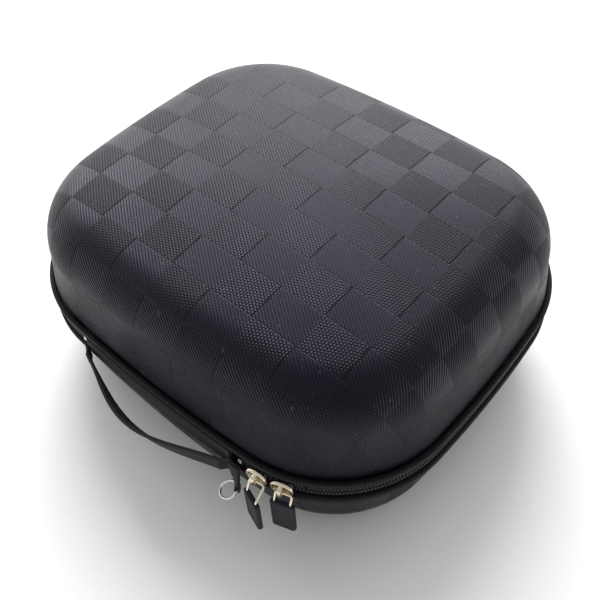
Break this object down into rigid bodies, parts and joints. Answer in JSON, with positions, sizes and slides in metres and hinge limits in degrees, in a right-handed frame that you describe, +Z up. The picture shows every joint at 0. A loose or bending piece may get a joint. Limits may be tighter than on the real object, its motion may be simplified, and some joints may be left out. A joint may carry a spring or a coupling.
{
  "type": "headphone carrying case",
  "caption": "Moulded clamshell case with a coil zip, hinged lid, webbing handle, wire ring and rubber-tab sliders.",
  "frame": {"origin": "middle of the flat bottom face", "axes": "+X along the sewn hinge, +Y from the hinge and handle towards the opening side, +Z up"},
  "size_m": [0.23, 0.2143, 0.107],
  "materials": {
    "shell_fabric": "charcoal polyester laminated on pressed foam, basket pattern of two weave directions",
    "lining": "brushed tricot lining",
    "piping": "black woven edging",
    "tape": "black zip tape and hinge fabric",
    "coil": "black nylon coil teeth",
    "webbing": "black woven webbing",
    "net": "black elastic net",
    "gold_metal": "pale gold plated zinc",
    "steel_wire": "bright nickel plated wire",
    "rubber": "dark slate moulded rubber"
  },
  "bodies": {
    "base": {"base_shell": "shell_fabric", "base_lining": "lining", "base_rim_piping": "piping", "base_seam_binding": "piping", "base_zip_tape": "tape", "base_zip_chain": "coil", "base_hinge_strip": "tape", "zip_end_chain": "coil", "zip_stop_left": "gold_metal", "zip_stop_right": "gold_metal", "handle_anchor_left": "webbing", "handle_anchor_right": "webbing", "tether_tab": "webbing"},
    "lid": {"lid_shell": "shell_fabric", "lid_lining": "lining", "lid_rim_piping": "piping", "lid_seam_binding": "piping", "lid_zip_tape": "tape", "lid_zip_chain": "coil", "lid_hinge_strip": "tape", "pocket_net": "net", "pocket_elastic": "webbing", "pocket_binding": "piping"},
    "handle": {"handle_webbing": "webbing"},
    "tether": {"tether_ring": "steel_wire"},
    "right_slider": {"right_slider_body": "gold_metal"},
    "right_pull": {"right_bail": "gold_metal", "right_pull_tab": "rubber"},
    "left_slider": {"left_slider_body": "gold_metal"},
    "left_pull": {"left_bail": "gold_metal", "left_pull_tab": "rubber"}
  },
  "joints": [
    {"name": "lid_hinge", "type": "hinge", "parent": "base", "child": "lid", "pos_m": [0, -0.0992, 0.0482], "axis": [1, 0, 0], "range_deg": [0, 88]},
    {"name": "handle_swing", "type": "hinge", "parent": "base", "child": "handle", "pos_m": [0, -0.1001, 0.0434], "axis": [1, 0, 0], "range_deg": [-15, 48], "stiffness_Nm_per_rad": 0.02},
    {"name": "tether_swing", "type": "hinge", "parent": "base", "child": "tether", "pos_m": [0.05218, -0.10136, 0.03188], "axis": [-0.6157, 0.788, 0], "range_deg": [0, 60]},
    {"name": "right_slider_travel", "type": "hinge", "parent": "base", "child": "right_slider", "pos_m": [0.0526, -0.0356, 0.0482], "axis": [0, 0, 1], "range_deg": [0, 64]},
    {"name": "left_slider_travel", "type": "hinge", "parent": "base", "child": "left_slider", "pos_m": [0.0526, -0.0356, 0.0482], "axis": [0, 0, 1], "range_deg": [0, 64]},
    {"name": "right_pull_swing", "type": "hinge", "parent": "right_slider", "child": "right_pull", "pos_m": [0.07321, -0.09614, 0.0482], "axis": [-0.9466, -0.3223, 0], "range_deg": [0, 75]},
    {"name": "left_pull_swing", "type": "hinge", "parent": "left_slider", "child": "left_pull", "pos_m": [0.06139, -0.09894, 0.0482], "axis": [-0.9905, -0.1374, 0], "range_deg": [0, 75]}
  ],
  "couplings": [
    {"joint": "left_slider_travel", "follows": "right_slider_travel", "ratio": 1}
  ]
}
